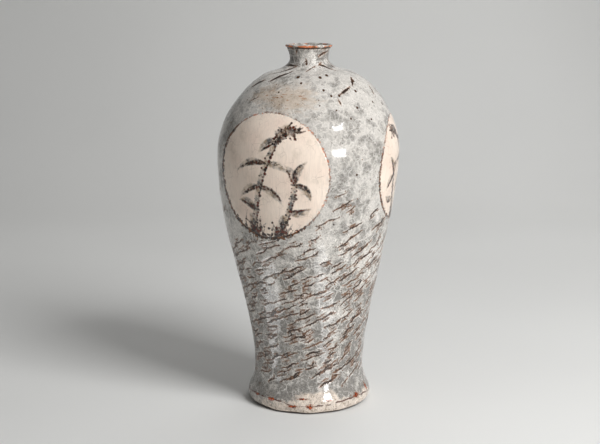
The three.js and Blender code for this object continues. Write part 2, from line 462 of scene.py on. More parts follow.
def draw_fissure(random, angle, height, length, slope, half, branch, dash):
    """Draws a fissure where it is clear of the inlays. branch and dash are drawn lots."""
    angles, arcs, halves = walk(random, angle, height, length, slope, half)
    if not all(clear_of_inlays(angles[i], arcs[i]) for i in (0, len(arcs) // 2, -1)):
        return
    draw_on_skin(angles, arcs, halves)
    turn = len(angles) * 2 // 3
    if branch < BRANCH_SHARE:
        away = slope + random.choice([-48, 42, 60])
        place = height_at(arcs[turn])
        draw_on_skin(*walk(random, angles[turn], place, random.uniform(2.5, 6), away, half * 0.6))
    if dash < DASH_SHARE:
        offset = random.choice([-3.2, 3.0])
        start = random.integers(0, max(1, len(angles) // 2))
        place = height_at(arcs[start]) + offset
        draw_on_skin(*walk(random, angles[start], place, random.uniform(2.5, 8), slope, 0.3))


# Strokes round the neck and on the dome: places as (degrees, height), then the half width
ROOT_STROKES = [
    [(-85, 301.2), (-60, 301.8), (-34, 301.8), 1.1],
    [(-63.5, 295.0), (-49, 298.4), (-34, 300.8), 1.35],
    [(-46, 290.8), (-39, 294.2), (-32, 297.2), 2.1],
    [(-69, 285.0), (-65, 287.8), (-59, 290.2), 1.7],
    [(-52, 274.5), (-50, 276.0), (-48, 277.0), 0.5],
    [(-33.5, 315.5), (-36, 314.0), (-38.5, 312.5), 0.5],
    [(-8, 306.0), (-7, 304.5), (-6.5, 303.0), 0.45],
    [(-3.5, 297.5), (3, 299.2), (11.5, 300.5), 0.5],
    [(26, 302.0), (30, 302.8), (34.5, 303.5), 0.5],
    [(28, 301.8), (40, 300.9), (54, 297.3), 1.3],
    [(33, 310.0), (44, 312.0), (62, 313.0), 0.8],
    [(28, 280.3), (33.5, 282.4), (39.5, 284.6), 1.15],
    [(54, 291.2), (50, 289.0), (45.5, 286.2), 1.2],
    [(71, 283.0), (69, 280.5), (67, 278.0), 0.75],
    [(24, 275.5), (24.3, 274.0), (24.5, 272.5), 0.45],
    [(100, 291.0), (116, 296.0), (128, 299.0), 1.1],
    [(140, 299.5), (158, 301.0), (172, 300.5), 0.9],
    [(-150, 293.0), (-138, 296.5), (-124, 299.5), 1.1],
    [(-110, 300.5), (-98, 301.5), (-88, 300.5), 0.8],
    [(-98, 283.0), (-90, 286.5), (-84, 289.0), 0.9],
    [(176, 287.0), (184, 290.5), (192, 292.5), 0.9],
]

# Single dots of iron: degrees, height and half width. The dot at -74 degrees, at the left end of the
# lip, is partly iron and partly painted shade.
ROOT_DOTS = [
    (-13, 293.5, 1.4), (13, 293, 1.4), (23, 294.5, 1.35), (-8, 289, 1.0), (13, 283.5, 1.0),
    (18.5, 279, 0.95), (25.5, 279, 1.1), (44, 281.5, 1.15), (37.5, 269, 0.95), (70.5, 269, 1.0),
    (29.5, 261, 0.85), (30, 215, 1.0), (67, 300, 1.5), (-6.5, 303, 1.0), (52, 289.5, 1.6),
    (-27.5, 282, 0.8), (-74, 316.6, 1.5), (120, 288, 1.3), (150, 281, 1.1), (-120, 290, 1.3),
    (-145, 284, 1.0), (47, 259, 0.8), (57, 272, 0.9), (8, 272, 0.6), (20, 268, 0.65),
]

# How far such a dot has run where the dome lies flattest, in half widths
RUN_ON_DOME = 1.0


def draw_root_strokes():
    for *places, half in ROOT_STROKES:
        degrees, heights = np.array(places).T
        share = np.linspace(0, 1, 12)
        knots = np.linspace(0, 1, len(places))
        angles = wrap(np.radians(np.interp(share, knots, degrees)))
        arcs = arc_at(np.interp(share, knots, heights))
        taper = np.sin(np.linspace(0.25, math.pi - 0.15, 12)) ** 0.7
        draw_on_skin(angles, arcs, half * taper)


def draw_lip_line():
    """A broken dark line where the lip's underside meets the neck."""
    random = np.random.default_rng(5)
    angle = -math.pi
    while angle < math.pi - 0.3:
        span = random.uniform(0.4, 1.1)
        angles = np.linspace(angle, angle + span, 10)
        arcs = np.full(10, LIP_ARC - random.uniform(0.5, 1.0)) + random.normal(0, 0.1, 10)
        draw_on_skin(angles, arcs, np.full(10, random.uniform(0.6, 0.95)))
        angle += span + random.uniform(0.05, 0.3)


draw_fissures()
draw_root_strokes()
draw_lip_line()


# Positions of the skin

# The recess under an inlay, which falls from one distance from the inlay's edge to another
RECESS_DEPTH = INLAY_THICKNESS + CLEARANCE
RECESS_EDGE = -0.7
RECESS_FLAT = -3.8

# The grooves of the fissures
GROOVE_DEPTH = 0.26
GROOVE_REACH = 0.9


def on_wall(angle, arc, push):
    """Points on the wall at an angle and a length along the outline, pushed out by some depth."""
    outward, upward = facing_at(arc)
    radius = radius_at(arc) + outward * push
    height = np.maximum(height_at(arc) + upward * push, 0)
    return np.stack([radius * np.sin(angle), -radius * np.cos(angle), height], -1)


def grid_normals(points):
    across = np.roll(points, -1, axis=1) - np.roll(points, 1, axis=1)
    normals = np.cross(across, np.gradient(points, axis=0))
    return normals / np.linalg.norm(normals, axis=-1, keepdims=True)


inlay_gaps = np.stack([chord_to_inlay(ANGLE, ARC, inlay.angle) - inlay.radius for inlay in INLAYS])
inlay_gap = inlay_gaps.min(0)
grooves = GROOVE_DEPTH * np.exp(-(line_near / GROOVE_REACH) ** 2) * smooth(line_half, 0.05, 0.4)
swell = unevenness(ANGLE, ARC) - grooves
recess = RECESS_DEPTH * smooth(inlay_gap, RECESS_EDGE, RECESS_FLAT)
skin = on_wall(ANGLE, ARC, swell - recess)
skin_normals = grid_normals(on_wall(ANGLE, ARC, swell))


# Where the glaze changes

# Height that the cream glaze reaches over the foot, by angle in degrees
CREAM_REACH = [
    (-180, 7), (-150, 14), (-120, 2), (-90, -1), (-62, -2), (-40, 5), (-22, 12), (-6, 17), (8, 21),
    (22, 20), (32, 12), (50, 9), (66, 14), (90, 7), (120, 15), (150, 2), (180, 7),
]

# Height of the scorched edge low on the foot, by angle in degrees
SCORCHED_EDGE = [
    (-180, 9.0), (-150, 10.5), (-120, 10.0), (-90, 9.5), (-62, 11.0), (-42, 11.4), (-26, 10.8),
    (-14, 7.4), (1, 7.8), (23, 9.0), (36, 10.4), (49, 11.0), (62, 10.5), (77, 8.7), (100, 10.0),
    (140, 8.8), (180, 9.0),
]

# Orange flashes on the foot: degrees, height, width round the foot and height of the spot
FLASHES = [
    (1, 7.2, 3.2, 2.1), (-6, 14, 4.5, 0.9), (-15, 7.2, 5.5, 1.3), (-38, 10.8, 3.2, 1.7),
    (-58, 10.8, 3, 1.2), (19, 12.5, 2.6, 1.0), (51, 11.6, 3.8, 2.3), (72, 14, 1.8, 3.4),
    (98, 9.8, 4, 1.3), (124, 8.6, 3.2, 2.0), (149, 9.4, 5, 1.1), (-172, 9.6, 3, 2.0),
    (-147, 9.6, 3, 1.9), (-118, 10, 4, 1.3), (-84, 9.8, 3, 1.6),
]


def below_edge(edge, angle, height):
    """How far below an edge, given as heights by angle in degrees, a place lies."""
    degrees, heights = np.array(edge, float).T
    return np.interp(np.degrees(wrap(angle)), degrees, heights) - height


def flash_strength(angle, height):
    strength = np.zeros(np.shape(angle))
    for degrees, at, width, tall in FLASHES:
        across = wrap(angle - math.radians(degrees)) * FLARE.radius / width
        strength = np.maximum(strength, np.exp(-across ** 2 - ((height - at) / tall) ** 2))
    return strength


LIP_BREAKS = Waves(21, 6, (2, 11), (100, 200), 1.0)


def lip_rust(angle, arc):
    """An iron line along the outer edge of the lip, or its inner edge where the first is broken."""
    bead_arc = arc - LIP_ARC
    outer = np.exp(-((bead_arc - 1.0) / 1.05) ** 2)
    inner = 0.8 * np.exp(-((bead_arc - 4.4) / 0.8) ** 2)
    whole = smooth(waves(angle, arc * 0, LIP_BREAKS), -1.6, 0.6)
    return outer * whole + inner * (1 - whole)


def patch(angle, height, degrees, at, width, tall):
    """A soft round patch with its centre at an angle and a height."""
    across = wrap(angle - math.radians(degrees)) * SHOULDER.radius / width
    return np.exp(-across ** 2 - ((height - at) / tall) ** 2)


HEIGHT = height_at(ARC)
zones = np.stack([
    below_edge(CREAM_REACH, ANGLE, HEIGHT),
    np.maximum(flash_strength(ANGLE, HEIGHT), lip_rust(ANGLE, ARC)),
    ARC,
], -1)

CLOUD_DRIFT = Waves(31, 10, (1, 6), (60, 300), 0.5)
CRACKLE_DRIFT = Waves(32, 8, (1, 5), (80, 300), 0.12)

# The glaze is paler on the dome. It is darker low on the belly and on the neck, which is partly the
# glaze's own grey and partly painted shade.
clouds_and_shade = waves(ANGLE, ARC, CLOUD_DRIFT) - 2.1 * smooth(HEIGHT, 140, 60)
clouds_and_shade = clouds_and_shade + 1.3 * smooth(HEIGHT, 262, 292) - 2.2 * smooth(HEIGHT, 297, 303)

# The crackle is strong on the shoulder, and weak on the belly, the neck and one patch of the dome
crackle = 0.3 + 0.7 * smooth(HEIGHT, 120, 215) + waves(ANGLE, ARC, CRACKLE_DRIFT)
crackle = np.clip(crackle - 0.45 * patch(ANGLE, HEIGHT, -32, 288, 40, 24), 0, 1)
crackle = crackle * (1 - 0.6 * smooth(HEIGHT, 292, 303))
beige = np.maximum(
    patch(ANGLE, HEIGHT, -14, 277, 30, 12) + 0.6 * patch(ANGLE, HEIGHT, -42, 280, 24, 9),
    0.8 * patch(ANGLE, HEIGHT, 118, 281, 30, 10))
tones = np.stack([clouds_and_shade, crackle, beige], -1)


def rim_strength(across, up):
    """The painted outline is strong below and to the left of an inlay, and faint elsewhere."""
    turn = np.arctan2(up, across)
    return 0.22 + 0.78 * smooth(np.cos(turn - math.radians(222)), -0.35, 0.75)


nearest_angle, _, nearest_outline = np.array(INLAYS).T[:, inlay_gaps.argmin(0)]
rim_across = wrap(ANGLE - nearest_angle) * SHOULDER.radius
rim = np.stack([
    inlay_gap,
    nearest_outline * rim_strength(rim_across, HEIGHT - INLAY_HEIGHT),
    below_edge(SCORCHED_EDGE, ANGLE, HEIGHT),
], -1)
marks = np.stack([line_side, line_near, line_half], -1)


# Meshes

def build_mesh(name, points, faces, smooth_faces, values, uvs, normals=None):
    """A mesh in metres. values are vectors by vertex, uvs are by face corner."""
    mesh = bpy.data.meshes.new(name)
    mesh.from_pydata((points * MM).tolist(), [], faces)
    mesh.polygons.foreach_set("use_smooth", smooth_faces)
    for key, vectors in values.items():
        mesh.attributes.new(key, "FLOAT_VECTOR", "POINT").data.foreach_set("vector", vectors.ravel())
    mesh.uv_layers.new(name="OFBake").data.foreach_set("uv", uvs.ravel())
    if normals is not None:
        mesh.normals_split_custom_set(normals)
    mesh.validate()
    piece = bpy.data.objects.new(name, mesh)
    bpy.context.collection.objects.link(piece)
    return piece


def plain_rings(places):
    """Rings round the axis, each at a (radius, height)."""
    radius, height = np.reshape(places, (-1, 2, 1)).transpose(1, 0, 2)
    ring = radius * np.sin(COLUMN_ANGLE), -radius * np.cos(COLUMN_ANGLE), height + 0 * COLUMN_ANGLE
    return np.stack(ring, -1)


# What the vertices of the skin carry, and what the hidden ones carry instead
SKIN_VALUES = {
    "marks": (marks, [FAR, FAR, 0]), "zones": (zones, [-FAR, 0, 0]),
    "tones": (tones, [0, 0.4, 0]), "rim": (rim, [FAR, 0, -FAR]),
}

# Share of its real height that a hidden ring takes in the map, and the map's margin at each end
HIDDEN_MAP_SHARE = 0.3
MAP_MARGIN = 0.02
COLUMN = np.arange(COLUMNS)


def ring_quads(low, high):
    """Faces between pairs of rings, given by the lower and the higher ring of each pair."""
    following = (COLUMN + 1) % COLUMNS
    low, high = low[:, None] * COLUMNS, high[:, None] * COLUMNS
    corners = [low + COLUMN, low + following, high + following, high + COLUMN]
    return np.stack(corners, -1).reshape(-1, 4)


def strip_map(tall):
    """Places in the map for the corners of the faces between rings. tall has each ring's place."""
    places = np.empty((len(tall) - 1, COLUMNS, 4, 2))
    places[..., [0, 3], 0] = (COLUMN / COLUMNS)[:, None]
    places[..., [1, 2], 0] = ((COLUMN + 1) / COLUMNS)[:, None]
    places[..., :2, 1] = tall[:-1, None, None]
    places[..., 2:, 1] = tall[1:, None, None]
    return places.reshape(-1, 2)


def fan(pole, first_vertex, tall, pole_tall, start, end):
    """Triangles from a pole to a ring, and places in the map for their corners.

    start and end are the columns of each triangle's outer corners, in the order it is wound.
    """
    ring = [first_vertex + column % COLUMNS for column in (start, end)]
    faces = np.stack([np.full(COLUMNS, pole), *ring], -1).tolist()
    corners = [((COLUMN + 0.5) / COLUMNS, pole_tall), (start / COLUMNS, tall), (end / COLUMNS, tall)]
    places = [np.stack([across, np.full(COLUMNS, up)], -1) for across, up in corners]
    return faces, np.stack(places, 1).reshape(-1, 2)


def turned_piece(name, first, last, before, after, bare_below=0.0):
    """A section: its rows of the skin, with plain rings before and after them.

    The rings run on from the skin and back to it, or to the axis where both ends have rings.
    Their clay is bare up to bare_below, and glazed above it.
    """
    start, end = FIRST_ROW[first], FIRST_ROW[last] + 1
    rings = np.concatenate([plain_rings(before), skin[start:end], plain_rings(after)])
    lead, count = len(before), len(rings)
    lag = lead + end - start
    reaches_axis = bool(before)

    def by_vertex(on_skin, elsewhere):
        full = np.empty((count, COLUMNS, 3))
        full[:] = elsewhere
        full[lead:lag] = on_skin[start:end]
        return full.reshape(-1, 3)

    low = np.arange(count - 1 if reaches_axis else count)
    high = (low + 1) % count
    is_shown = (low >= lead) & (low < lag - 1)
    quads = ring_quads(low, high)
    ring_steps = np.linalg.norm((rings[high] - rings[low])[:, 0], axis=-1)
    tall = np.concatenate([[0], np.cumsum(ring_steps * np.where(is_shown, 1, HIDDEN_MAP_SHARE))])
    tall = MAP_MARGIN + (1 - 2 * MAP_MARGIN) * tall / tall[-1]
    uvs = strip_map(tall)

    points = rings.reshape(-1, 3)
    faces = quads.tolist()
    on_skin = np.repeat(is_shown, COLUMNS)
    values = {key: by_vertex(*pair) for key, pair in SKIN_VALUES.items()}
    is_hidden = np.ones((count, COLUMNS), bool)
    is_hidden[lead:lag] = False
    values["zones"][is_hidden.ravel() & (points[:, 2] > bare_below), 2] = FAR
    if reaches_axis:
        pole = len(points)
        points = np.concatenate([points, [[0, 0, rings[0, 0, 2]], [0, 0, rings[-1, 0, 2]]]])
        foot_faces, foot_map = fan(pole, 0, tall[0], 0, COLUMN + 1, COLUMN)
        top_faces, top_map = fan(pole + 1, (count - 1) * COLUMNS, tall[-1], 1, COLUMN, COLUMN + 1)
        faces += foot_faces + top_faces
        uvs = np.concatenate([uvs, foot_map, top_map])
        on_skin = np.concatenate([on_skin, np.zeros(2 * COLUMNS, bool)])
        for key, vectors in values.items():
            values[key] = np.concatenate([vectors, vectors[:1], vectors[-1:]])

    normals = np.zeros((len(uvs), 3))
    shown_corners = np.repeat(on_skin[:len(quads)], 4)
    corner_vertices = quads.ravel()[shown_corners]
    normals[:len(shown_corners)][shown_corners] = by_vertex(skin_normals, [0, 0, 0])[corner_vertices]
    return build_mesh(name, points, faces, on_skin, values, uvs, normals.tolist())


def inner_radius(height):
    """Radius of the wall's inside at a height."""
    arc = np.linspace(0, LIP_ARC, 2000)
    outward, upward = facing_at(arc)
    inner = radius_at(arc) - outward * WALL
    level = height_at(arc) - upward * WALL
    return float(np.interp(height, level, inner))


def inside_wall(low, high):
    return [(inner_radius(height), height) for height in np.linspace(low, high, INSIDE_ROWS)]


def opening_height():
    """Height at which the dome's inside reaches the opening for the neck."""
    heights = np.linspace(SHOULDER.height, SEAT - 1, 400)
    radii = [inner_radius(height) for height in heights]
    return float(np.interp(-OPENING_RADIUS, -np.array(radii), heights))


# Radii of plain rings between the axis and the wall, under the floor and on it, and how far
# above the underside the belly's clay is bare
UNDERSIDE_RINGS = (6, 20)
FLOOR_RINGS = (12, 4)
BARE_MARGIN = 0.5


def make_foot():
    return turned_piece("foot", "foot", "belly", [], [
        (WELL_RADIUS, FOOT_TOP), (WELL_RADIUS, REST_EDGE_RISE), (REST_INNER_RADIUS, 0),
        ((REST_INNER_RADIUS + REST_OUTER_RADIUS) / 2, 0),
    ], bare_below=FOOT_TOP)


def make_belly():
    spigot_radius = WELL_RADIUS - CLEARANCE
    tongue_radius = inner_radius(MIDDLE) + TONGUE_THICKNESS
    cove = bezier([
        (inner_radius(FLOOR_HEIGHT + FLOOR_COVE_RISE), FLOOR_HEIGHT + FLOOR_COVE_RISE),
        (FLOOR_COVE_RADIUS, FLOOR_HEIGHT), (FLOOR_FLAT_RADIUS, FLOOR_HEIGHT),
    ], 8)
    wall = inside_wall(MIDDLE + TONGUE_HEIGHT, FLOOR_HEIGHT + FLOOR_COVE_RISE)
    floor = [(radius, FLOOR_HEIGHT) for radius in FLOOR_RINGS]
    underside = [(radius, WELL_DEPTH) for radius in (*UNDERSIDE_RINGS, spigot_radius)]
    return turned_piece("belly", "belly", "shoulder", [*underside, (spigot_radius, FOOT_TOP)], [
        (tongue_radius, MIDDLE), (tongue_radius, MIDDLE + TONGUE_HEIGHT), *wall, *cove[1:], *floor,
    ], bare_below=WELL_DEPTH + BARE_MARGIN)


def make_shoulder():
    groove_radius = inner_radius(MIDDLE) + TONGUE_THICKNESS + CLEARANCE
    groove_top = MIDDLE + TONGUE_HEIGHT + CLEARANCE
    return turned_piece("shoulder", "shoulder", "neck", [], [
        (OPENING_RADIUS, SEAT), *inside_wall(opening_height(), groove_top),
        (groove_radius, groove_top), (groove_radius, MIDDLE),
    ])


def make_neck():
    spigot_radius = OPENING_RADIUS - CLEARANCE
    return turned_piece("neck", "neck", "end", [], [
        (spigot_radius, SEAT - SPIGOT_LENGTH), (spigot_radius, SEAT),
    ])


# Inlays

# How far an inlay stands proud of the wall, and how far it reaches past its own radius
INLAY_PROUD = 0.12
INLAY_OVERLAP = 0.25

# The ripple of its face: its height, and the distance that counts as a turn of one radian
RIPPLE = 0.05
RIPPLE_SPREAD = 9

# The rounding of its edge, and the underside that slopes up to a thin edge
EDGE_WIDTH = 1.2
EDGE_DROP = 0.15
EDGE_FLAT = 1.0
EDGE_THICKNESS = 0.15
UNDERSIDE_SLOPE = 0.55


def square_pressed_into_disc(cells):
    """A square grid of places in a unit disc, as distance from the centre and direction."""
    u, v = np.meshgrid(np.linspace(-1, 1, cells + 1), np.linspace(-1, 1, cells + 1))
    reach = np.maximum(abs(u), abs(v))
    wide = abs(u) >= abs(v)
    across = np.where(wide, np.where(u == 0, 1, u), 1)
    upward = np.where(wide, 1, v)
    turn = np.where(wide, math.pi / 4 * v / across, math.pi / 2 - math.pi / 4 * u / upward)
    turn = turn + np.where(wide & (u < 0), math.pi, 0) + np.where(~wide & (v < 0), math.pi, 0)
    return reach, turn


# Lengths along the outline that take in the largest inlay, from its centre down and up
ARC_BELOW = 70
ARC_ABOVE = 75


def inlay_places(reach, turn):
    """Turn away from the inlay's centre and length along the outline, for a place in its disc.

    A place at some reach lies on the circle that a compass draws on the wall with that radius.
    """
    centre_arc = float(arc_at(INLAY_HEIGHT))
    arcs = np.linspace(centre_arc - ARC_BELOW, centre_arc + ARC_ABOVE, 3000)
    chords = chord_to_inlay(0.0, arcs, 0.0)
    lower, upper = arcs <= centre_arc, arcs >= centre_arc
    bottom = height_at(np.interp(reach, chords[lower][::-1], arcs[lower][::-1]))
    top = height_at(np.interp(reach, chords[upper], arcs[upper]))
    height = (top + bottom) / 2 + (top - bottom) / 2 * np.sin(turn)
    arc = arc_at(height)
    radius, centre_radius = radius_at(arc), radius_at(centre_arc)
    cosine = radius ** 2 + centre_radius ** 2 + (height - INLAY_HEIGHT) ** 2 - reach ** 2
    cosine = cosine / (2 * radius * centre_radius)
    away = np.arccos(np.clip(cosine, -1, 1)) * np.sign(np.cos(turn))
    return away, arc


# Painting on the inlays. The field of a brush is the distance outside its stroke.

class Painting:
    """Fields over the disc of the large inlay in mm: dark ink, thin wash and small iron beads."""

    def __init__(self, across, up):
        self.across, self.up = across, up
        self.fields = {key: np.full(across.shape, REACH) for key in ("ink", "wash", "bead")}

    def stroke(self, key, places, halves):
        field = self.fields[key]
        for (x, y), (end_x, end_y), half, end_half in zip(places, places[1:], halves, halves[1:]):
            share, near, _ = to_segment(self.across - x, self.up - y, end_x - x, end_y - y)
            np.minimum(field, near - half - (end_half - half) * share, out=field)

    def dot(self, x, y, half):
        self.stroke("bead", [(x, y), (x + 0.1, y)], [half, half])


def bowed(start, end, bow, steps=9):
    """Places along an arc that leaves the straight line by bow at its middle."""
    start, end = np.array(start, float), np.array(end, float)
    share = np.linspace(0, 1, steps)[:, None]
    across = np.array([start[1] - end[1], end[0] - start[0]]) / (np.linalg.norm(end - start) + 1e-6)
    return start + (end - start) * share + across * bow * 4 * share * (1 - share)


def beads_along(painting, random, places, spacing, half, stray):
    """Dots a spacing apart along a line, with half widths about half, that stray off it a little."""
    for (x, y), (end_x, end_y) in zip(places, places[1:]):
        count = max(1, int(math.hypot(end_x - x, end_y - y) / spacing))
        for share in (np.arange(count) + random.uniform(0.2, 0.8, count)) / count:
            dot_x = x + (end_x - x) * share + random.normal(0, stray)
            dot_y = y + (end_y - y) * share + random.normal(0, stray)
            painting.dot(dot_x, dot_y, half * random.uniform(0.5, 1.25))


def paint_leaf(painting, random, root, direction, length, bow, dark):
    """A lance leaf of wash with a dark spine, and with a dark edge too if dark is high."""
    tip = np.array(root) + length * np.array([math.cos(direction), math.sin(direction)])
    places = bowed(root, tip, bow, 11)
    share = np.linspace(0, 1, 11)
    belly = np.sin(math.pi * share ** 0.75)
    width = random.uniform(2.8, 4.0)
    painting.stroke("wash", places, width * belly + 0.1)
    sideways = np.array([-math.sin(direction), math.cos(direction)])
    edge = places + sideways * (width * 0.6 * belly)[:, None]
    if dark > 0.35:
        painting.stroke("ink", edge[:9], dark * 1.7 * belly[:9] ** 0.5)
    painting.stroke("ink", places[:6], dark * np.array([0.9, 2.0, 2.1, 1.5, 0.8, 0.2]))
    beads_along(painting, random, edge[:8], 2.4, 0.65 + 0.35 * dark, 0.45)


def paint_cane(painting, random, foot, top, bow, half):
    """A jointed cane: a length of wash between each two joints, with iron beads down both sides."""
    places = bowed(foot, top, bow, 5)
    joints = []
    for start, end in zip(places, places[1:]):
        gap = (end - start) * 0.05
        line = bowed(start + gap, end - gap, 0.3, 4)
        painting.stroke("wash", line, np.full(4, half))
        side = line + np.array([half * 0.8, 0])
        painting.stroke("ink", side, np.array([1.1, 0.6, 0.45, 0.9]))
        beads_along(painting, random, side, 2.3, 1.15, 0.6)
        beads_along(painting, random, line - np.array([half * 0.9, 0]), 4.5, 0.8, 0.4)
        collar = np.array([end + [-half * 1.3, 0.2], end + [half * 1.3, -0.2]])
        painting.stroke("ink", collar, [0.8, 1.3])
        joints.append(end)
    return joints


def paint_plume(painting, random, root, droop):
    """A seed head that leans over: barbs on both sides of a bowed spine, over some wash."""
    tip = np.array(root) + [droop * 16, 8]
    spine = bowed(root, tip, droop * 5, 9)
    painting.stroke("wash", spine, np.array([1.5, 3.5, 4.5, 5.2, 5.2, 4.6, 3.8, 2.6, 1.2]))
    painting.stroke("ink", spine, np.linspace(1.9, 0.8, 9))
    for i in range(36):
        at = i // 4
        ahead = spine[min(at + 1, 8)] - spine[min(at, 7)]
        turn = random.choice([-1, 1]) * random.uniform(20, 75)
        direction = math.atan2(ahead[1], ahead[0]) + math.radians(turn)
        length = random.uniform(3.5, 8.5)
        start = spine[at] + random.normal(0, 0.6, 2)
        end = start + length * np.array([math.cos(direction), math.sin(direction) - 0.25])
        painting.stroke("ink", bowed(start, end, random.normal(0, 0.7), 5), np.linspace(1.4, 0.45, 5))
        if random.uniform() < 0.5:
            painting.dot(*end, random.uniform(0.5, 1.3))


def paint_clump(painting, random, x, lean):
    """Dark growth at the foot of a cane."""
    foot = np.array([x, -50.0])
    painting.stroke("wash", [foot, foot + [lean, 15]], [6.5, 2.6])
    for i in range(7):
        direction = math.radians(90 + (i - 3) * 17 + random.normal(0, 6))
        tip = foot + random.uniform(7, 17) * np.array([math.cos(direction), math.sin(direction)])
        blade = bowed(foot + [random.normal(0, 2.5), 0], tip, random.normal(0, 1.2), 5)
        painting.stroke("ink", blade, np.array([1.7, 1.5, 1.1, 0.7, 0.3]))
        beads_along(painting, random, blade, 2.6, 1.0, 0.9)


def paint_reeds(painting, seed, flip):
    """Two jointed reeds with lance leaves, a seed head and some grass at the foot."""
    random = np.random.default_rng(seed)
    tall = paint_cane(painting, random, (-15 * flip, -50), (9 * flip, 30), 4 * flip, 2.4)
    short = paint_cane(painting, random, (9 * flip, -51), (25 * flip, -6), -2.5 * flip, 2.1)
    paint_plume(painting, random, tall[-1], flip)
    leaves = [
        (tall[1], -38, 27, 3.5, 0.8), (tall[1], 208, 24, -3, 0.7), (tall[2], 196, 32, -5, 0.9),
        (tall[2], -22, 21, 2.5, 0.35), (tall[3], 214, 20, -2.5, 0.5), (short[1], 12, 19, -3, 0.6),
        (short[3], -48, 19, 3, 0.9), (short[3], 62, 22, 3, 0.8), (short[3], 118, 18, -2, 0.4),
        (tall[0], 160, 19, -3, 0.9),
    ]
    for root, degrees, length, bow, dark in leaves:
        direction = math.radians(degrees if flip > 0 else 180 - degrees)
        paint_leaf(painting, random, root, direction, length, bow * flip, dark)
    paint_clump(painting, random, -15 * flip, -1.5 * flip)
    paint_clump(painting, random, 10 * flip, 4 * flip)
    for i in range(9):
        x = (-24 + i * 5.2 + random.uniform(-1.5, 1.5)) * flip
        tip = (x + random.uniform(-5, 7), -52 + random.uniform(7, 16) + 0.012 * x * x)
        blade = bowed((x, -53 + 0.012 * x * x), tip, random.uniform(-1.2, 1.2), 5)
        painting.stroke("ink", blade, np.linspace(0.9, 0.2, 5))
        beads_along(painting, random, blade[:3], 2.4, 0.8, 0.7)


def disc_faces(side):
    """Faces of a disc on a square grid: its top or its underside, and the wall round it."""
    index = np.arange(side * side).reshape(side, side)
    corners = [index[:-1, :-1], index[:-1, 1:], index[1:, 1:], index[1:, :-1]]
    cells = np.stack(corners, -1).reshape(-1, 4)
    edge = np.concatenate([index[0, :-1], index[:-1, -1], index[-1, :0:-1], index[:0:-1, 0]])
    under = edge + side * side
    wall = np.stack([edge, under, np.roll(under, -1), np.roll(edge, -1)], -1)
    return cells, wall


# An inlay's map: width and middle of its face and of its underside, and the corners of the
# spot for its wall. A disc's width takes in a little more than two radii of the inlay.
FACE_WIDTH, FACE_MIDDLE = 0.7, (0.36, 0.36)
UNDERSIDE_WIDTH, UNDERSIDE_MIDDLE = 0.24, (0.86, 0.14)
WALL_SPOT = [(0.75, 0.9), (0.75, 0.95), (0.8, 0.95), (0.8, 0.9)]
RADII_ACROSS = 2.1


def disc_map(across, up, radius, cells, wall):
    """Places in the map for the corners of the faces."""
    flat = np.stack([across, up], -1).reshape(-1, 2) / (RADII_ACROSS * radius)
    top, underside = flat * FACE_WIDTH + FACE_MIDDLE, flat * UNDERSIDE_WIDTH + UNDERSIDE_MIDDLE
    wall_spots = np.tile(WALL_SPOT, (len(wall), 1))
    return np.concatenate([top[cells.ravel()], underside[cells[:, ::-1].ravel()], wall_spots])


def painted_fields(across, up, seed, flip):
    """The painting's fields at each vertex, as a vector of ink, wash and bead."""
    painting = Painting(across, up)
    paint_reeds(painting, seed, flip)
    fields = [np.minimum(painting.fields[key], REACH) for key in ("ink", "wash", "bead")]
    return np.stack(fields, -1).reshape(-1, 3)


def make_inlay(number, inlay, flip):
    angle, radius, outline = inlay
    reach, turn = square_pressed_into_disc(INLAY_CELLS)
    reach = reach * (radius + INLAY_OVERLAP)
    away, arc = inlay_places(reach, turn)
    across, up = reach * np.cos(turn), reach * np.sin(turn)
    rounded = (INLAY_PROUD + EDGE_DROP) * smooth(reach, radius - EDGE_WIDTH, radius + INLAY_OVERLAP)
    ripple = RIPPLE * waves(across / RIPPLE_SPREAD, up, Waves(40 + number, 6, (1, 3), (25, 60), 1.0))
    face = unevenness(angle + away, arc) + INLAY_PROUD - rounded + ripple
    thickness = (radius - EDGE_FLAT - reach) * UNDERSIDE_SLOPE
    thickness = np.clip(thickness, EDGE_THICKNESS, INLAY_THICKNESS)
    top = on_wall(angle + away, arc, face)
    bottom = on_wall(angle + away, arc, face - thickness)
    points = np.concatenate([top.reshape(-1, 3), bottom.reshape(-1, 3)])

    side = INLAY_CELLS + 1
    cells, wall = disc_faces(side)
    faces = np.concatenate([cells, cells[:, ::-1] + side * side, wall])
    uvs = disc_map(across, up, radius, cells, wall)

    scale = FRONT_RADIUS / radius
    paint = painted_fields(across * scale, up * scale, 70 + number, flip)
    edging = np.stack([reach - radius, outline * rim_strength(across, up), 0 * reach], -1).reshape(-1, 3)
    blank = np.full((side * side, 3), REACH)
    values = {"paint": np.concatenate([paint, blank]), "rim": np.concatenate([edging, -blank])}
    smooth_faces = np.repeat([True, False], [len(cells) * 2, len(wall)])
    return build_mesh(f"roundel_{number}", points, faces.tolist(), smooth_faces, values, uvs)


# Materials

def srgb(red, green, blue):
    """A colour given in 0 to 255 as it looks on screen, as the linear value a shader takes."""
    shares = [value / 255 for value in (red, green, blue)]
    linear = [c / 12.92 if c <= 0.04045 else ((c + 0.055) / 1.055) ** 2.4 for c in shares]
    return (*linear, 1.0)


